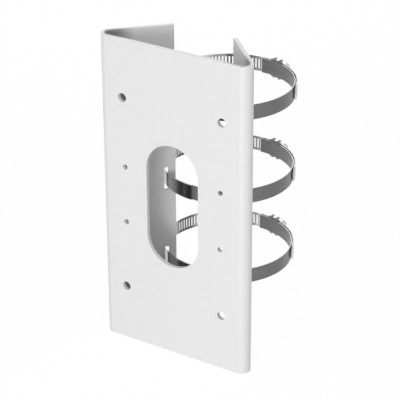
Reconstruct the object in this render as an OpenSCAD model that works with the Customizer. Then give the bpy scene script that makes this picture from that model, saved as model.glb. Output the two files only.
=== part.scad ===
// Camera pole mount bracket: one folded steel sheet with an oval cable opening, held to a pole
// by three worm-drive band clamps. Each clamp is a plain strap, a slotted strap, a saddle,
// a housing and a worm screw. Units are millimetres.
// X runs to the right along the plate, Y runs back towards the pole and Z is up.
// The origin is the middle of the plate's front face.

/* [Bracket sheet] */
// Width of the bracket across its two long bends
plate_w = 127; // [122:1:140]
// Height of the bracket
plate_h = 250; // [230:1:320]
// Thickness of the sheet
sheet_t = 3; // [2:0.1:4]
// Outside radius of the long bends
bend_r = 7; // [5.5:0.1:9]
// Angle between the plate and each flange folded behind it
flange_angle = 45; // [42:0.5:50]
// Length of the flat part of each flange
flange_len = 48; // [46:0.5:54]

/* [Cable opening] */
// Width of the cable opening
cable_w = 45; // [30:1:60]
// Height of the cable opening
cable_h = 100; // [70:1:140]

/* [Screw holes] */
// Diameter of the four outer holes
outer_hole_d = 7; // [5:0.1:9]
// Distance between the outer holes across the plate
outer_hole_dx = 85.5; // [80:0.5:96]
// Distance between the outer holes up the plate
outer_hole_dz = 158; // [140:1:200]
// Diameter of the four inner holes
inner_hole_d = 4.2; // [3:0.1:5.5]
// Distance between the inner holes across the plate
inner_hole_dx = 83; // [76:0.5:96]
// Distance between the inner holes up the plate
inner_hole_dz = 46; // [36:1:60]

/* [Flange slots] */
// Distance from the bend to the middle of each strap slot
band_slot_at = 40.9; // [38:0.1:42]
// Width of a strap slot along the flange
band_slot_w = 3.6; // [3.2:0.1:4.5]
// Height of a strap slot
band_slot_h = 19.4; // [17:0.1:26]
// Radius of the corners of a strap slot
band_slot_corner = 0.8; // [0.3:0.1:1.5]

/* [Clamps] */
// Distance between neighbouring clamps
clamp_pitch = 68.4; // [50:0.2:90]
// Inside radius of a clamp's ring
ring_r = 49.5; // [46:0.5:56]
// Width of the straps
strap_w = 12; // [9:0.1:14]
// Thickness of the straps
strap_t = 0.7; // [0.5:0.05:1]
// Gap between a strap and what it lies against
strap_gap = 0.1; // [0.05:0.01:0.2]
// Gap between a strap and the wall of the flange slot that it pulls on
strap_seat = 0.3; // [0.2:0.05:0.6]
// Place of the housing on the ring, as an angle from the right-hand side
housing_at = 75; // [60:0.5:90]
// Length of the plain strap past the housing
tongue_len = 8; // [5:0.5:20]
// Length of the slotted strap's tail past the housing
tail_len = 47; // [15:0.5:50]
// Place of the slotted strap's front end on the ring
lap_at = -92; // [-95:0.5:-80]
// Length over which the two straps lie on each other at the front
lap_len = 12; // [8:0.5:14]

/* [Strap slots] */
// Distance from one slot of the strap to the next
notch_pitch = 2.65; // [2.2:0.05:3.2]
// Width of a slot of the strap
notch_w = 1.25; // [1:0.05:1.4]
// Length of a slot of the strap
notch_l = 7.8; // [6.5:0.1:8.5]
// Place of the last slot on the ring
notch_end_at = 176; // [150:1:180]
// Length of the tail's tip that has no slots
tip_len = 3; // [2:0.5:6]
// Size of the clipped corners of the tip
tip_clip = 3; // [1:0.5:4]

/* [Worm screw] */
// Outside diameter of the worm
worm_d = 7.4; // [6.8:0.1:7.8]
// Depth of the worm's grooves
worm_groove = 0.9; // [0.6:0.05:1]
// Depth to which the worm reaches into the strap
worm_mesh = 0.5; // [0.2:0.05:0.6]
// Width of the worm's ridges
worm_ridge = 0.9; // [0.6:0.05:0.95]
// Diameter of the journals at both ends of the worm
journal_d = 4.4; // [3.6:0.1:4.8]
// Distance across the flats of the screw's head
head_af = 6; // [5:0.1:6.2]
// Length of the screw's head
head_len = 4.5; // [3.5:0.1:6]
// Length of the round collar under the head
collar_len = 1.2; // [0.6:0.1:1.5]
// Width of the collar's rim beyond the head's flats
collar_rim = 0.3; // [0.2:0.05:0.4]
// Chamfer round the end of the head
head_chamfer = 0.5; // [0.2:0.05:0.8]
// Gap between the screw's collars and the housing's end walls
collar_gap = 0.3; // [0.1:0.05:0.5]
// Width of the screwdriver slot
driver_w = 1.1; // [0.8:0.1:1.4]
// Depth of the screwdriver slot
driver_deep = 1.8; // [1:0.1:2.2]

/* [Housing and saddle] */
// Length of the housing along the strap
housing_len = 11; // [10:0.1:13]
// Wall of the housing
housing_wall = 0.9; // [0.7:0.05:1.1]
// Thickness of the housing's end walls
end_wall = 1; // [0.8:0.05:1.3]
// Gap round the worm inside the housing
worm_gap = 0.25; // [0.15:0.05:0.4]
// Gap round a journal in its bore
journal_gap = 0.05; // [0.02:0.01:0.1]
// Gap between the edges of the slotted strap and the housing's sides
side_gap = 0.3; // [0.2:0.05:0.5]
// Thickness of the saddle
saddle_t = 0.8; // [0.6:0.05:1]
// Thickness of the saddle's lock tabs
tab_t = 0.7; // [0.5:0.05:0.9]
// Width of a lock tab
tab_w = 1.6; // [1.2:0.1:2.5]
// Distance between the two lock tabs on one side
tab_dist = 5.7; // [5:0.1:7.5]

/* [Hidden] */
$fn = 96;
// How far a cut runs past the surface that it opens
past = 1;
// Colours of the powder-coated sheet, the stainless strip and the plated screw
coat = "#E9E9E7";
steel = "#9A9C9E";
screw_steel = "#B9BBBD";

// Bracket sheet
bend_x = plate_w / 2 - bend_r;
inner_r = bend_r - sheet_t;
bend_turn = 180 - flange_angle;
bend_land = 0.01;
// Point on the right-hand flange, a distance along it from the bend and out from the bend's centre
function flange_point(along, out) = [
    bend_x + out * sin(flange_angle) - along * cos(flange_angle),
    bend_r + out * cos(flange_angle) + along * sin(flange_angle)
];

// Clamp ring: the plain strap's inner face bears on the rear wall of the flange slot
slot_rear = flange_point(band_slot_at + band_slot_w / 2, inner_r);
ring_y = slot_rear[1] + sqrt(pow(ring_r - strap_seat, 2) - pow(slot_rear[0], 2));
function arc_angle(length, radius) = length / radius * 180 / PI;

// Radii of the stack at the housing, from the ring's centre outwards
plain_out = ring_r + strap_t;
saddle_in = plain_out + strap_gap;
saddle_out = saddle_in + saddle_t;
tail_in = saddle_out + strap_gap;
tail_out = tail_in + strap_t;
shoulder_in = tail_out + strap_gap;
shoulder_out = shoulder_in + housing_wall;
worm_axis = tail_out + worm_d / 2 - worm_mesh;
dome_in = worm_d / 2 + worm_gap;
dome_out = dome_in + housing_wall;

// The slotted strap lies on the saddle at the housing and on the plain strap at the lap
lap_in = plain_out + strap_gap;
shift = (tail_in - lap_in) / (1 - cos(lap_at - housing_at));
slotted_r = tail_in - shift;

// Half widths across the strap
housing_half = strap_w / 2 + side_gap + housing_wall;
tab_half = housing_half + strap_gap + tab_t;
fold_end = housing_half - housing_wall;

// Radii of the lock tabs' folds
tab_in = shoulder_out + strap_gap;
tab_out = tab_in + tab_t;

// Angles along the ring
housing_half_angle = arc_angle(housing_len / 2, shoulder_in);
tongue_end = housing_at + housing_half_angle + arc_angle(tongue_len, ring_r);
tail_end = housing_at - housing_half_angle - arc_angle(tail_len, slotted_r);
plain_front = lap_at - arc_angle(lap_len, ring_r);
notch_step = arc_angle(notch_pitch, slotted_r);
notches_back = floor((notch_end_at - housing_at) / notch_step);
notches_tail = floor((housing_at - tail_end - arc_angle(tip_len, slotted_r)) / notch_step);
tab_angle = arc_angle(tab_dist / 2, saddle_in);
tab_half_angle = arc_angle(tab_w / 2, saddle_in);

// Strip of rectangular section bent to an arc about the Z axis
module arc_strip(radius, thick, low, high, from, to) {
    rotate([0, 0, from])
        rotate_extrude(angle = to - from, $fn = 180)
            translate([radius, low]) square([thick, high - low]);
}

// Places a clamp's pieces with the ring's centre at the origin
module at_ring(height) {
    translate([0, ring_y, height]) children();
}

// Places a piece with X pointing out through the housing and Y along the strap
module at_housing(height) {
    at_ring(height) rotate([0, 0, housing_at]) children();
}

// Rod along the strap at the worm's axis
module rod(diameter, from, length) {
    translate([worm_axis, from, 0]) rotate([-90, 0, 0]) cylinder(d = diameter, h = length);
}

// Outline of the right-hand bend and flange, seen from above. The flange lies a hair inside the bend,
// so that their faces cross cleanly, and each reaches just far enough into the other to hide its end.
module bend_and_flange() {
    reach = 2 * bend_r;
    bend_end = bend_turn - 90 + sqrt(4 * bend_land / (bend_r + inner_r)) * 180 / PI;
    flange_back = sqrt(bend_land * (bend_r + inner_r));
    translate([bend_x, bend_r]) {
        intersection() {
            difference() {
                circle(r = bend_r);
                circle(r = inner_r);
            }
            polygon([
                [0, 0], [0, -reach], [reach, -reach], [reach, 0], [reach * cos(bend_end), reach * sin(bend_end)]
            ]);
        }
        rotate(bend_turn - 90)
            translate([inner_r - bend_land, -flange_back])
                square([sheet_t, flange_len + flange_back]);
    }
}

// Folded sheet before anything is cut in it
module folded_sheet() {
    translate([0, 0, -plate_h / 2]) linear_extrude(plate_h) {
        translate([-bend_x, 0]) square([2 * bend_x, sheet_t]);
        for (side = [0, 1]) mirror([side, 0]) bend_and_flange();
    }
}

// Round-cornered outline centred on the origin
module rounded_outline(width, height, corner) {
    square([width - 2 * corner, height], center = true);
    square([width, height - 2 * corner], center = true);
    for (x = [-1, 1], y = [-1, 1])
        translate([x * (width / 2 - corner), y * (height / 2 - corner)]) circle(r = corner);
}

// Drills four holes through the plate, at the corners of a rectangle
module plate_holes(diameter, dx, dz) {
    for (x = [-dx / 2, dx / 2], z = [-dz / 2, dz / 2])
        translate([x, -past, z]) rotate([-90, 0, 0]) cylinder(d = diameter, h = sheet_t + 2 * past);
}

module cable_opening() {
    translate([0, sheet_t + past, 0])
        rotate([90, 0, 0])
            linear_extrude(sheet_t + 2 * past) {
                square([cable_w, cable_h - cable_w], center = true);
                for (end = [-1, 1]) translate([0, end * (cable_h - cable_w) / 2]) circle(d = cable_w);
            }
}

// Slot through the right-hand flange for a strap
module band_slot(height) {
    translate([bend_x, bend_r, height])
        rotate([0, 0, bend_turn - 90])
            translate([inner_r - past, band_slot_at, 0])
                rotate([90, 0, 90])
                    linear_extrude(sheet_t + 2 * past)
                        rounded_outline(band_slot_w, band_slot_h, band_slot_corner);
}

module bracket_plate() {
    color(coat) difference() {
        folded_sheet();
        cable_opening();
        plate_holes(outer_hole_d, outer_hole_dx, outer_hole_dz);
        plate_holes(inner_hole_d, inner_hole_dx, inner_hole_dz);
        for (side = [0, 1], row = [-1, 0, 1]) mirror([side, 0, 0]) band_slot(row * clamp_pitch);
    }
}

module plain_strap(height) {
    color(steel) at_ring(height)
        arc_strip(ring_r, strap_t, -strap_w / 2, strap_w / 2, plain_front, tongue_end);
}

// One slot of the slotted strap
module notch(angle) {
    rotate([0, 0, angle])
        translate([slotted_r - past, -notch_w / 2, -notch_l / 2])
            cube([strap_t + 2 * past, notch_w, notch_l]);
}

// Clipped corners of the slotted strap's tail
module tail_corners() {
    diagonal = tip_clip * sqrt(2);
    rotate([0, 0, tail_end])
        for (side = [-1, 1])
            translate([slotted_r - past, 0, side * strap_w / 2])
                rotate([45, 0, 0])
                    translate([0, -diagonal / 2, -diagonal / 2])
                        cube([strap_t + 2 * past, diagonal, diagonal]);
}

module slotted_strap(height) {
    color(steel) at_housing(height) translate([shift, 0, 0]) rotate([0, 0, -housing_at])
        difference() {
            arc_strip(slotted_r, strap_t, -strap_w / 2, strap_w / 2, tail_end, lap_at + 360);
            for (k = [-notches_tail : notches_back - 1]) notch(housing_at + (k + 0.5) * notch_step);
            tail_corners();
        }
}

// Section of the saddle through its lock tabs, which fold over the housing's shoulders
module tab_section() {
    polygon([
        [saddle_in, -tab_half], [tab_out, -tab_half], [tab_out, -fold_end], [tab_in, -fold_end],
        [tab_in, tab_t - tab_half], [saddle_out, tab_t - tab_half],
        [saddle_out, tab_half - tab_t], [tab_in, tab_half - tab_t],
        [tab_in, fold_end], [tab_out, fold_end], [tab_out, tab_half], [saddle_in, tab_half]
    ]);
}

// Cuts the tabs away on the upper side, over a stretch of the saddle
module tab_cut(from, to) {
    middle = (saddle_out + tab_in) / 2;
    rotate([0, 0, from])
        rotate_extrude(angle = to - from)
            polygon([
                [saddle_in - past, housing_half], [middle, housing_half], [middle, fold_end - past],
                [tab_out + past, fold_end - past], [tab_out + past, tab_half + past],
                [saddle_in - past, tab_half + past]
            ]);
}

// Saddle: its strip is widest at two pairs of lock tabs
module saddle(height) {
    color(steel) at_housing(height) difference() {
        rotate([0, 0, -housing_half_angle]) rotate_extrude(angle = 2 * housing_half_angle) tab_section();
        for (side = [0, 1]) mirror([0, 0, side]) {
            tab_cut(-housing_half_angle - past, -tab_angle - tab_half_angle);
            tab_cut(-tab_angle + tab_half_angle, tab_angle - tab_half_angle);
            tab_cut(tab_angle + tab_half_angle, housing_half_angle + past);
        }
    }
}

// Outline of the housing's dome across the strap, closed below at the shoulder
module dome_outline(radius) {
    translate([shoulder_in, -radius]) square([worm_axis - shoulder_in, 2 * radius]);
    intersection() {
        translate([worm_axis, 0]) circle(r = radius);
        translate([worm_axis - past, -radius]) square([radius + 2 * past, 2 * radius]);
    }
}

// Extrudes an outline of X and Z along the strap
module along_strap(from, length) {
    translate([0, from + length, 0]) rotate([90, 0, 0]) linear_extrude(length) children();
}

module housing(height) {
    inner_len = housing_len - 2 * end_wall;
    color(steel) at_housing(height) difference() {
        union() {
            arc_strip(shoulder_in, housing_wall, -housing_half, housing_half,
                -housing_half_angle, housing_half_angle);
            for (side = [0, 1]) mirror([0, 0, side])
                arc_strip(saddle_out + strap_gap / 2, shoulder_out - saddle_out - strap_gap / 2,
                    housing_half - housing_wall, housing_half, -housing_half_angle, housing_half_angle);
            along_strap(-housing_len / 2, housing_len) dome_outline(dome_out);
        }
        along_strap(-inner_len / 2, inner_len) {
            dome_outline(dome_in);
            translate([tail_out - past, -dome_in]) square([2 * past, 2 * dome_in]);
        }
        rod(journal_d + 2 * journal_gap, -housing_len / 2 - past, housing_len + 2 * past);
    }
}

// Hexagon head with a chamfered end, standing on the XY plane
module hexagon_head(length) {
    corner_r = head_af / sqrt(3);
    intersection() {
        cylinder(r = corner_r, h = length, $fn = 6);
        rotate_extrude()
            polygon([
                [0, 0], [corner_r + past, 0], [corner_r + past, length - head_chamfer - past * tan(30)],
                [corner_r - head_chamfer / tan(30), length], [0, length]
            ]);
    }
}

// Worm with a ridge in each slot of the strap, journals at both ends and a slotted hexagon head
module worm_screw(height) {
    inner_len = housing_len - 2 * end_wall;
    core_d = worm_d - 2 * worm_groove;
    ridges = floor((inner_len - worm_ridge) / 2 / notch_pitch - 0.5 + 0.001);
    collar_from = housing_len / 2 + collar_gap;
    head_from = collar_from + collar_len;
    head_end = head_from + head_len;
    color(screw_steel) at_housing(height) difference() {
        union() {
            rod(core_d, -inner_len / 2 + worm_gap, inner_len - 2 * worm_gap);
            for (k = [-ridges - 1 : ridges])
                rod(worm_d, (k + 0.5) * notch_pitch - worm_ridge / 2, worm_ridge);
            rod(journal_d, -collar_from, collar_from + head_from);
            rod(head_af + 2 * collar_rim, collar_from, collar_len);
            translate([worm_axis, head_from, 0]) rotate([-90, 0, 0]) rotate([0, 0, 30]) hexagon_head(head_len);
        }
        translate([worm_axis - head_af, head_end - driver_deep, -driver_w / 2])
            cube([2 * head_af, driver_deep + past, driver_w]);
    }
}

bracket_plate();
plain_strap(clamp_pitch);  // upper_plain_strap
slotted_strap(clamp_pitch);  // upper_slotted_strap
saddle(clamp_pitch);  // upper_saddle
housing(clamp_pitch);  // upper_housing
worm_screw(clamp_pitch);  // upper_worm_screw
plain_strap(0);  // middle_plain_strap
slotted_strap(0);  // middle_slotted_strap
saddle(0);  // middle_saddle
housing(0);  // middle_housing
worm_screw(0);  // middle_worm_screw
plain_strap(-clamp_pitch);  // lower_plain_strap
slotted_strap(-clamp_pitch);  // lower_slotted_strap
saddle(-clamp_pitch);  // lower_saddle
housing(-clamp_pitch);  // lower_housing
worm_screw(-clamp_pitch);  // lower_worm_screw
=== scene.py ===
# %% [markdown]
# A camera pole mount bracket: one folded steel sheet, powder coated white, and three worm-drive
# band clamps that hold it to a pole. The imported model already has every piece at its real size.
# This lesson gives the pieces the small rounded edges that a real sheet and strip have, and
# gives each one its finish: powder coat, rolled stainless strip, pressed steel and a plated screw.

# %% Load the frame
import math

import bmesh
import bpy
from mathutils import Matrix, Vector


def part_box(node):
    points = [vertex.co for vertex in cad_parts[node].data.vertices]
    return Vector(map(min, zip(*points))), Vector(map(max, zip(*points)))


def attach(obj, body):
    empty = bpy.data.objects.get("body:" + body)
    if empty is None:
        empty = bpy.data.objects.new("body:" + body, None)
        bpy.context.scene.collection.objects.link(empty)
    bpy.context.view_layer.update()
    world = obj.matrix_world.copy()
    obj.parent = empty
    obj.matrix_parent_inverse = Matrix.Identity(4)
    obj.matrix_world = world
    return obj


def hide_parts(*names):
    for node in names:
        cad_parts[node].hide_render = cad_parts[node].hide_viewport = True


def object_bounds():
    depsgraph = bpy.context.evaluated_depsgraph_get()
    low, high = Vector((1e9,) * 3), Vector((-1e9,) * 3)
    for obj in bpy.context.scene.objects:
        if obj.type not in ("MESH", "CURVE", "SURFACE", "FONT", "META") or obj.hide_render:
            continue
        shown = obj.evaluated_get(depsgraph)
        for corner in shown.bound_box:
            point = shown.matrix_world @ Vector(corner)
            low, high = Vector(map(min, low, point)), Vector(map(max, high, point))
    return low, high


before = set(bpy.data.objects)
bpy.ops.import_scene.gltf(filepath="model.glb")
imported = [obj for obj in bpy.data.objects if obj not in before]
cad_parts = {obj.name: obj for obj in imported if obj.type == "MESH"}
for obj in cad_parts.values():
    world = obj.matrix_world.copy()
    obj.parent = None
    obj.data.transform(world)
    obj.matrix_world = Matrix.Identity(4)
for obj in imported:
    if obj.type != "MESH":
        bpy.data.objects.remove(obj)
cad_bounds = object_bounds()

# %% Units and the rows of clamps
MM = 0.001
ROWS = ("upper", "middle", "lower")
plate_low, plate_high = (Vector(corner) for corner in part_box("bracket_plate"))
print("plate from", [round(v, 4) for v in plate_low], "to", [round(v, 4) for v in plate_high])

# %% [markdown]
# The camera stands where the photographer's did. Its place was solved from the edges of the
# bracket: it looks down on the plate from the right, from a little over a metre away, through
# a long lens, so the upright edges close in only slightly towards the bottom.

# %% The camera
VIEW_AZIMUTH = 32.39
VIEW_ELEVATION = 26.98
VIEW_ROLL = -0.2
VIEW_DISTANCE = 1277.7 * MM
AIM_RIGHT, AIM_UP = 20.53 * MM, 5.84 * MM
FOCAL_PIXELS, PHOTO_PIXELS = 1729.8, 400
SENSOR_MM = 36


def view_axes(azimuth, elevation):
    """Unit vectors to the right, up and forward for a camera that looks from this direction."""
    a, e = math.radians(azimuth), math.radians(elevation)
    forward = Vector((-math.sin(a) * math.cos(e), math.cos(a) * math.cos(e), -math.sin(e)))
    right = Vector((math.cos(a), math.sin(a), 0))
    return right, right.cross(forward), forward


right, up, forward = view_axes(VIEW_AZIMUTH, VIEW_ELEVATION)
camera_data = bpy.data.cameras.new("camera")
camera_data.sensor_width = SENSOR_MM
camera_data.lens = FOCAL_PIXELS / PHOTO_PIXELS * SENSOR_MM
camera_data.clip_start, camera_data.clip_end = 0.05, 50
camera = bpy.data.objects.new("camera", camera_data)
bpy.context.scene.collection.objects.link(camera)
axes = Matrix((right, up, -forward)).transposed().to_4x4()
place = Matrix.Translation(AIM_RIGHT * right + AIM_UP * up - VIEW_DISTANCE * forward)
camera.matrix_world = place @ axes @ Matrix.Rotation(math.radians(VIEW_ROLL), 4, "Z")
bpy.context.scene.camera = camera
bpy.context.scene.view_settings.view_transform = "Standard"
print("camera at", [round(v, 3) for v in camera.matrix_world.translation], "lens", round(camera_data.lens, 1))

# %% [markdown]
# A colour is easiest to choose as the hex value that a screen shows. The renderer works with
# linear light, so one function turns the one into the other.

# %% Helpers for colours and nodes


def linear(hex_colour, alpha=1.0):
    """The linear colour of an sRGB hex value such as '#E9E9E7'."""
    parts = [int(hex_colour[i : i + 2], 16) / 255 for i in (1, 3, 5)]
    curve = [v / 12.92 if v <= 0.04045 else ((v + 0.055) / 1.055) ** 2.4 for v in parts]
    return (*curve, alpha)


def add(tree, kind, settings=None, **links):
    """Adds a node. settings are its own fields; a link is a socket, or a value for that input."""
    node = tree.nodes.new(kind)
    for field, value in (settings or {}).items():
        setattr(node, field, value)
    for name, value in links.items():
        key = int(name[1:]) if name[0] == "i" and name[1:].isdigit() else name.replace("_", " ")
        if isinstance(value, bpy.types.NodeSocket):
            tree.links.new(value, node.inputs[key])
        else:
            node.inputs[key].default_value = value
    return node


def new_material(name, colour, metallic, roughness):
    """A material whose shader has these values on its own sockets."""
    material = bpy.data.materials.new(name)
    material.use_nodes = True
    shader = material.node_tree.nodes["Principled BSDF"]
    shader.inputs["Base Color"].default_value = linear(colour)
    shader.inputs["Metallic"].default_value = metallic
    shader.inputs["Roughness"].default_value = roughness
    return material, material.node_tree, shader


# %% [markdown]
# Powder coat is a plastic powder melted onto the sheet. It flows into a smooth satin skin that
# keeps a faint orange peel, about a millimetre and a half from hump to hump, with finer grain
# in it. It is a dielectric, so its shine is white and weak except at a glancing angle. The real
# humps are only a few hundredths of a millimetre high: here they are drawn some five times
# higher, so that the skin still shows under soft light. The hollow of the left fold, which
# shows through the holes, is painted darker than shade alone made it here. This is painted shade:
# a grey laid into the coat's colour in the hollow of either fold, fading away from it. A thin
# coat over grey steel stands in for that: charged powder is known to reach a tight inside corner
# badly, but that this bracket's coat is thin there is a guess.

# %% Powder coat
COAT_COLOUR = "#E9E9E9"
COAT_SHADE = "#E6E6E6"
COAT_ROUGHNESS = 0.40
COAT_IOR = 1.6
PEEL_MM = 1.6
PEEL_HIGH_MM = 0.15
GRAIN_MM = 0.35
GRAIN_HIGH_MM = 0.012
CLOUD_MM = 40
# Painted shade: the grey laid into the coat in the hollow of the folds.
FOLD_SHADE_GREY = "#969696"
BEND_RADIUS_MM, SHEET_MM = 7, 3
FOLD_SHADE_REACH_MM = 20


def inside_the_folds(tree, here):
    """The mask of the painted shade: 1 in the hollow of either fold, fading to 0 with distance from it, and 0 on
    outer faces.
    """
    place = add(tree, "ShaderNodeSeparateXYZ", Vector=here)
    across = add(tree, "ShaderNodeMath", {"operation": "ABSOLUTE"}, i0=place.outputs["X"])
    hand = add(tree, "ShaderNodeMath", {"operation": "SIGN"}, i0=place.outputs["X"])
    facing = add(tree, "ShaderNodeSeparateXYZ", Vector=add(tree, "ShaderNodeNewGeometry").outputs["Normal"])
    outwards = add(
        tree, "ShaderNodeMath", {"operation": "MULTIPLY"}, i0=facing.outputs["X"], i1=hand.outputs[0]
    )
    normal = add(tree, "ShaderNodeCombineXYZ", X=outwards.outputs[0], Y=facing.outputs["Y"])
    spot = add(tree, "ShaderNodeCombineXYZ", X=across.outputs[0], Y=place.outputs["Y"])
    axis = (plate_high.x - BEND_RADIUS_MM * MM, BEND_RADIUS_MM * MM, 0)
    to_axis = add(tree, "ShaderNodeVectorMath", {"operation": "SUBTRACT"}, i0=axis, i1=spot.outputs[0])
    inner = add(
        tree, "ShaderNodeVectorMath", {"operation": "DOT_PRODUCT"}, i0=to_axis.outputs[0], i1=normal.outputs[0]
    )
    sided = add(tree, "ShaderNodeMath", {"operation": "GREATER_THAN"}, i0=inner.outputs["Value"], i1=0)
    away = add(tree, "ShaderNodeVectorMath", {"operation": "LENGTH"}, i0=to_axis.outputs[0])
    near = add(
        tree, "ShaderNodeMapRange", {"interpolation_type": "SMOOTHSTEP"}, Value=away.outputs["Value"],
        From_Min=(BEND_RADIUS_MM - SHEET_MM) * MM, From_Max=FOLD_SHADE_REACH_MM * MM, To_Min=1, To_Max=0,
    )
    return add(tree, "ShaderNodeMath", {"operation": "MULTIPLY"}, i0=near.outputs[0], i1=sided.outputs[0]).outputs[0]


def powder_coat():
    material, tree, shader = new_material("white_powder_coat", COAT_COLOUR, 0.0, COAT_ROUGHNESS)
    shader.inputs["IOR"].default_value = COAT_IOR
    here = add(tree, "ShaderNodeTexCoord").outputs["Object"]
    peel = add(tree, "ShaderNodeTexNoise", Vector=here, Scale=1 / (PEEL_MM * MM), Detail=2.0)
    grain = add(tree, "ShaderNodeTexNoise", Vector=here, Scale=1 / (GRAIN_MM * MM), Detail=1.0)
    cloud = add(tree, "ShaderNodeTexNoise", Vector=here, Scale=1 / (CLOUD_MM * MM), Detail=3.0)
    shade = add(
        tree, "ShaderNodeMix", {"data_type": "RGBA"},
        Factor=cloud.outputs["Fac"], i6=linear(COAT_COLOUR), i7=linear(COAT_SHADE),
    )
    # Painted shade, mixed into the coat's colour in the hollow of either fold.
    fold_shade = add(
        tree, "ShaderNodeMix", {"data_type": "RGBA"},
        Factor=inside_the_folds(tree, here), i6=shade.outputs[2], i7=linear(FOLD_SHADE_GREY),
    )
    tree.links.new(fold_shade.outputs[2], shader.inputs["Base Color"])
    gloss = add(
        tree, "ShaderNodeMapRange",
        Value=cloud.outputs["Fac"], From_Min=0.3, From_Max=0.7,
        To_Min=COAT_ROUGHNESS - 0.03, To_Max=COAT_ROUGHNESS + 0.03,
    )
    tree.links.new(gloss.outputs[0], shader.inputs["Roughness"])
    humps = add(tree, "ShaderNodeBump", Height=peel.outputs["Fac"], Strength=1.0, Distance=PEEL_HIGH_MM * MM)
    fine = add(
        tree, "ShaderNodeBump",
        Height=grain.outputs["Fac"], Normal=humps.outputs[0], Strength=1.0, Distance=GRAIN_HIGH_MM * MM,
    )
    tree.links.new(fine.outputs[0], shader.inputs["Normal"])
    return material


coat = powder_coat()
print("made", coat.name)

# %% [markdown]
# The straps are cut from rolled stainless strip. Rolling leaves very fine lines along the
# strip, so across it the surface scatters light and along it the surface is almost a mirror.
# The lines must follow the ring, so the pattern is drawn against the height on the strap and
# the distance round the ring, and not against X and Y. A strap is light in one place and grey a
# few centimetres on. That is painted reflection: light and dark stretches laid into the colour
# for what the strap mirrors, so that it shows under plain light too.
# Their start was chosen so that the light and dark stretches fall about where the photo's do.

# %% Rolled strip
RING_CENTRE_Y = 79.67 * MM
RING_RADIUS = 50 * MM
LINE_MM = 0.22
LINE_LENGTH_MM = 26
REFLECTION_STRETCH_MM = 22
REFLECTION_START = 6


def round_the_ring(tree):
    """Coordinates that unroll the ring: distance round it, height, and distance from its centre."""
    here = add(tree, "ShaderNodeTexCoord").outputs["Object"]
    centred = add(tree, "ShaderNodeMapping", Vector=here, Location=(0, -RING_CENTRE_Y, 0))
    parts = add(tree, "ShaderNodeSeparateXYZ", Vector=centred.outputs[0])
    angle = add(tree, "ShaderNodeMath", {"operation": "ARCTAN2"}, i0=parts.outputs["Y"], i1=parts.outputs["X"])
    arc = add(tree, "ShaderNodeMath", {"operation": "MULTIPLY"}, i0=angle.outputs[0], i1=RING_RADIUS)
    return add(tree, "ShaderNodeCombineXYZ", X=arc.outputs[0], Y=parts.outputs["Z"], Z=0.0).outputs[0]


def rolled_strip(name, colour, dark, reflected_dark, roughness):
    """Stainless strip: colour and dark are the two shades of its lines; the third colour is painted reflection, in
    dark stretches along it.
    """
    material, tree, shader = new_material(name, colour, 1.0, roughness)
    unrolled = round_the_ring(tree)
    lines = add(tree, "ShaderNodeMapping", Vector=unrolled, Scale=(LINE_MM / LINE_LENGTH_MM, 1, 1))
    streak = add(
        tree, "ShaderNodeTexNoise", Vector=lines.outputs[0], Scale=1 / (LINE_MM * MM), Detail=3.0
    )
    bands = add(
        tree, "ShaderNodeTexNoise", Vector=lines.outputs[0], Scale=1 / (6 * LINE_MM * MM), Detail=1.0
    )
    both = add(
        tree, "ShaderNodeMath", {"operation": "MULTIPLY_ADD"},
        i0=bands.outputs["Fac"], i1=0.5, i2=streak.outputs["Fac"],
    )
    spread = add(
        tree, "ShaderNodeMapRange", Value=both.outputs[0], From_Min=0.45, From_Max=1.05, To_Min=0, To_Max=1
    )
    shade = add(
        tree, "ShaderNodeMix", {"data_type": "RGBA"},
        Factor=spread.outputs[0], i6=linear(dark), i7=linear(colour),
    )
    # Painted reflection: dark stretches along the ring, mixed into the strip's colour.
    arc = add(tree, "ShaderNodeSeparateXYZ", Vector=unrolled).outputs["X"]
    along = add(
        tree, "ShaderNodeMath", {"operation": "MULTIPLY_ADD"},
        i0=arc, i1=1 / (REFLECTION_STRETCH_MM * MM), i2=REFLECTION_START,
    )
    stretches = add(
        tree, "ShaderNodeTexNoise", {"noise_dimensions": "1D"}, W=along.outputs[0], Scale=1.0, Detail=0.0
    )
    dark_stretch = add(
        tree, "ShaderNodeMapRange",
        Value=stretches.outputs["Fac"], From_Min=0.33, From_Max=0.67, To_Min=1, To_Max=0,
    )
    skin = add(
        tree, "ShaderNodeMix", {"data_type": "RGBA"},
        Factor=dark_stretch.outputs[0], i6=shade.outputs[2], i7=linear(reflected_dark),
    )
    tree.links.new(skin.outputs[2], shader.inputs["Base Color"])
    gloss = add(
        tree, "ShaderNodeMapRange",
        Value=spread.outputs[0], To_Min=roughness + 0.06, To_Max=roughness - 0.04,
    )
    tree.links.new(gloss.outputs[0], shader.inputs["Roughness"])
    scratches = add(
        tree, "ShaderNodeBump", Height=streak.outputs["Fac"], Strength=0.35, Distance=0.01 * MM
    )
    tree.links.new(scratches.outputs[0], shader.inputs["Normal"])
    return material


# The two straps are one steel. The slotted strap's far lighter colour is painted reflection, for the bright
# surroundings it mirrors.
plain_strip = rolled_strip("rolled_stainless_strip", "#848484", "#6C6C6C", "#727272", 0.36)
slotted_strip = rolled_strip("stainless_strip_painted_bright", "#E8E8E8", "#C8C8C8", "#5E5E5E", 0.12)
print("made", plain_strip.name, "and", slotted_strip.name)

# %% [markdown]
# The housing and saddle are pressed from stainless sheet. Pressing dulls the strip's lines to
# an even satin with small scuffs. The saddle is painted darker than the housing: painted shade,
# for the shade it lies in against the band. Where a press shears such strip, the cut is torn and
# rough; its lighter colour is a painted highlight, for the light that the thin cut edges catch.
# The screw is zinc plated: bright, a little cloudy.

# %% Pressed steel and zinc plate


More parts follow.
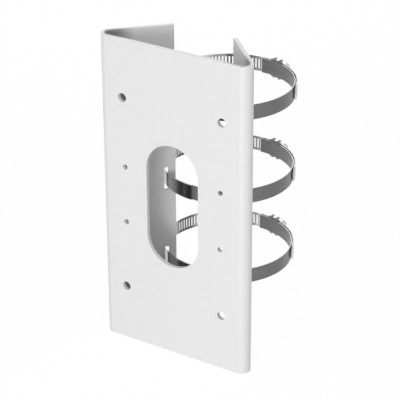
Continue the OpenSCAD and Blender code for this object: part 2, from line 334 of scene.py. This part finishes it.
def satin_metal(name, colour, dark, roughness, patch_mm, scuff_mm):
    """Metal with cloudy patches of two shades and a scuffed skin."""
    material, tree, shader = new_material(name, colour, 1.0, roughness)
    here = add(tree, "ShaderNodeTexCoord").outputs["Object"]
    patch = add(tree, "ShaderNodeTexNoise", Vector=here, Scale=1 / (patch_mm * MM), Detail=4.0)
    scuff = add(tree, "ShaderNodeTexNoise", Vector=here, Scale=1 / (scuff_mm * MM), Detail=2.0)
    shade = add(
        tree, "ShaderNodeMix", {"data_type": "RGBA"},
        Factor=patch.outputs["Fac"], i6=linear(dark), i7=linear(colour),
    )
    tree.links.new(shade.outputs[2], shader.inputs["Base Color"])
    gloss = add(
        tree, "ShaderNodeMapRange",
        Value=scuff.outputs["Fac"], To_Min=roughness - 0.08, To_Max=roughness + 0.1,
    )
    tree.links.new(gloss.outputs[0], shader.inputs["Roughness"])
    skin = add(tree, "ShaderNodeBump", Height=scuff.outputs["Fac"], Strength=0.3, Distance=0.01 * MM)
    tree.links.new(skin.outputs[0], shader.inputs["Normal"])
    return material


pressed = satin_metal("pressed_stainless", "#D8D8D8", "#BCBCBC", 0.24, 2.5, 0.25)
# Painted shade: the saddle is the housing's steel, painted darker.
pressed_painted_shade = satin_metal("pressed_stainless_saddle_painted_shade", "#9A9A9A", "#858585", 0.36, 5.0, 0.3)
# Painted highlight: the cut edges' lighter colour stands for the light they catch; their roughness is the torn cut's
# own.
cut_edge_painted_light = satin_metal("sheared_edge_painted_highlight", "#D2D2D2", "#A8A8A8", 0.42, 1.5, 0.12)
zinc = satin_metal("zinc_plated_screw", "#C9C9C4", "#A6A6A0", 0.26, 3.0, 0.2)
print("made", pressed.name, pressed_painted_shade.name, cut_edge_painted_light.name, zinc.name)

# %% [markdown]
# A sheared or laser-cut edge is never a perfect corner: deburring rounds it, and powder coat
# pulls back from it. That thin round is what catches the light along an edge. Each piece is a
# copy of its solid with its loose triangles merged, and its real corners beveled. The corners
# are found by their angle, so the fine facets of a bore or a bend are left alone.

# %% Copy a solid and round its edges
CORNER_ANGLE = math.radians(28)
SKIN_SHARE = 0.9


def faces_the_ring(face):
    """True for a strap's rolled skin, which looks straight towards the ring's axis or away."""
    middle = face.calc_center_median() - Vector((0, RING_CENTRE_Y, 0))
    outwards = Vector((middle.x, middle.y, 0)).normalized()
    return abs(face.normal.dot(outwards)) > SKIN_SHARE


def softened(node, body, material, edge_mm, segments=2, cut=None):
    """A copy of a CAD node with rounded corners, which stands for it. cut finishes its edges."""
    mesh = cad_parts[node].data.copy()
    mesh.materials.clear()
    shape = bmesh.new()
    shape.from_mesh(mesh)
    bmesh.ops.remove_doubles(shape, verts=shape.verts, dist=0.0005 * MM)
    bmesh.ops.dissolve_limit(
        shape, angle_limit=math.radians(0.05), verts=shape.verts, edges=shape.edges
    )
    corners = [e for e in shape.edges if len(e.link_faces) == 2 and e.calc_face_angle() > CORNER_ANGLE]
    bmesh.ops.bevel(
        shape, geom=corners, offset=edge_mm * MM, offset_type="OFFSET", segments=segments,
        profile=0.5, affect="EDGES", clamp_overlap=True, material=-1,
    )
    for face in shape.faces:
        face.smooth = True
        face.material_index = 1 if cut and not faces_the_ring(face) else 0
    shape.to_mesh(mesh)
    shape.free()
    piece = bpy.data.objects.new(node + "_finished", mesh)
    bpy.context.scene.collection.objects.link(piece)
    for finish in [material] + ([cut] if cut else []):
        mesh.materials.append(finish)
    mesh.set_sharp_from_angle(angle=CORNER_ANGLE)
    normals = piece.modifiers.new("flat faces stay flat", "WEIGHTED_NORMAL")
    normals.keep_sharp = True
    normals.weight = 100
    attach(piece, body)
    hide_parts(node)
    print(piece.name, len(mesh.polygons), "faces,", len(corners), "corner edges")
    return piece


softened("bracket_plate", "bracket", coat, 0.35, segments=3)
for row in ROWS:
    softened(row + "_plain_strap", "bracket", plain_strip, 0.12, cut=cut_edge_painted_light)
    softened(row + "_slotted_strap", "bracket", slotted_strip, 0.1, cut=cut_edge_painted_light)
    softened(row + "_saddle", "bracket", pressed_painted_shade, 0.12)
    softened(row + "_housing", "bracket", pressed, 0.2)
    softened(row + "_worm_screw", row + "_worm", zinc, 0.15)

# %% [markdown]
# The floor is plain and pale, and the background is white. Light Path tells a shader which kind
# of ray is looking at it. Seen directly, in a metal or through glass, the floor and the sky are
# almost their own full white. The light that they throw on the object is a separate, lower
# number, so a white background never has to be bought with more light on the bracket. The floor
# keeps a share of its plain matt colour, and in that share the object's soft shadow shows.

# %% Floor
FLOOR_SIZE = 12
FLOOR_COLOUR = "#C8C8C8"
FLOOR_GLOW = 1.08
GLOW_SHARE = 0.87


def looked_at(tree, share):
    """This share for rays that look at the background, and nothing for rays that gather light."""
    rays = add(tree, "ShaderNodeLightPath")
    seen = rays.outputs["Is Camera Ray"]
    for kind in ("Is Glossy Ray", "Is Transmission Ray"):
        seen = add(tree, "ShaderNodeMath", {"operation": "MAXIMUM"}, i0=seen, i1=rays.outputs[kind]).outputs[0]
    return add(tree, "ShaderNodeMath", {"operation": "MULTIPLY"}, i0=seen, i1=share).outputs[0]


floor_mesh = bpy.data.meshes.new("floor")
grid = bmesh.new()
bmesh.ops.create_grid(grid, x_segments=1, y_segments=1, size=FLOOR_SIZE / 2)
bmesh.ops.translate(grid, verts=grid.verts, vec=(0, 0, cad_bounds[0][2]))
grid.to_mesh(floor_mesh)
grid.free()
floor = bpy.data.objects.new("floor", floor_mesh)
bpy.context.scene.collection.objects.link(floor)

floor_material = bpy.data.materials.new("floor")
floor_material.use_nodes = True
tree = floor_material.node_tree
tree.nodes.clear()
matt = add(tree, "ShaderNodeBsdfDiffuse", Color=linear(FLOOR_COLOUR))
glow = add(tree, "ShaderNodeEmission", Color=(1, 1, 1, 1), Strength=FLOOR_GLOW)
mix = add(tree, "ShaderNodeMixShader", i0=looked_at(tree, GLOW_SHARE), i1=matt.outputs[0], i2=glow.outputs[0])
add(tree, "ShaderNodeOutputMaterial", Surface=mix.outputs[0])
floor_mesh.materials.append(floor_material)
print("floor at", round(cad_bounds[0][2], 4))

# %% [markdown]
# A plain studio. The sky gives the fill: it is brighter overhead than at the horizon, so the
# hollow of the bracket grows darker towards its foot, and brighter on the right, so the left
# bend is the darker one. One broad lamp stands low and almost square in front of the plate.
# From there it can't shine over the top edge or slantwise through the cable opening, so the
# insides of the flanges stay in shade. A small soft lamp near the floor lifts the plate a
# little, and the right bend slightly more than the plate. A third lamp, behind and above,
# keeps the white coat white where the bracket is seen from the pole's side.

# %% World and lamps
SKY_OVERHEAD = 0.70
SKY_AT_HORIZON = 0.44
SKY_SIDE_AZIMUTH, SKY_SIDE_SHARE = 50, 0.75
KEY_AZIMUTH, KEY_ELEVATION = 8, 3.5
KEY_DISTANCE, KEY_SIZE, KEY_POWER = 2.2, 1.0, 20.5
LOW_AZIMUTH, LOW_ELEVATION = 18, -13
LOW_DISTANCE, LOW_SIZE, LOW_POWER = 0.55, 0.2, 0.65
BACK_AZIMUTH, BACK_ELEVATION = 220, 25
BACK_DISTANCE, BACK_SIZE, BACK_POWER = 2.2, 1.2, 7

world = bpy.data.worlds.new("studio")
bpy.context.scene.world = world
world.use_nodes = True
tree = world.node_tree
tree.nodes.clear()
way = add(tree, "ShaderNodeTexCoord").outputs["Generated"]
height = add(tree, "ShaderNodeSeparateXYZ", Vector=way).outputs["Z"]
level = add(tree, "ShaderNodeMapRange", Value=height, To_Min=SKY_AT_HORIZON, To_Max=SKY_OVERHEAD)
brightest = -view_axes(SKY_SIDE_AZIMUTH, 0)[2]
side = add(tree, "ShaderNodeVectorMath", {"operation": "DOT_PRODUCT"}, i0=way, i1=brightest)
tilt = add(
    tree, "ShaderNodeMapRange", Value=side.outputs["Value"],
    From_Min=-1, From_Max=1, To_Min=1 - SKY_SIDE_SHARE, To_Max=1 + SKY_SIDE_SHARE,
)
strength = add(tree, "ShaderNodeMath", {"operation": "MULTIPLY"}, i0=level.outputs[0], i1=tilt.outputs[0])
sky = add(tree, "ShaderNodeBackground", Color=(1, 1, 1, 1), Strength=strength.outputs[0])
white = add(tree, "ShaderNodeBackground", Color=(1, 1, 1, 1), Strength=1.0)
mix = add(tree, "ShaderNodeMixShader", i0=looked_at(tree, 1.0), i1=sky.outputs[0], i2=white.outputs[0])
add(tree, "ShaderNodeOutputWorld", Surface=mix.outputs[0])


def soft_lamp(name, azimuth, elevation, distance, size, power):
    """A square area lamp seen from the object in this direction, turned to face it."""
    data = bpy.data.lights.new(name, "AREA")
    data.shape = "SQUARE"
    data.size = size
    data.energy = power
    lamp = bpy.data.objects.new(name, data)
    away = view_axes(azimuth, elevation)[2]
    lamp.location = -distance * away
    lamp.rotation_euler = away.to_track_quat("-Z", "Y").to_euler()
    bpy.context.scene.collection.objects.link(lamp)
    print(name, "lamp at", [round(v, 2) for v in lamp.location])
    return lamp


soft_lamp("key", KEY_AZIMUTH, KEY_ELEVATION, KEY_DISTANCE, KEY_SIZE, KEY_POWER)
low_lamp = soft_lamp("low", LOW_AZIMUTH, LOW_ELEVATION, LOW_DISTANCE, LOW_SIZE, LOW_POWER)
low_lamp.visible_camera = False
soft_lamp("back", BACK_AZIMUTH, BACK_ELEVATION, BACK_DISTANCE, BACK_SIZE, BACK_POWER)
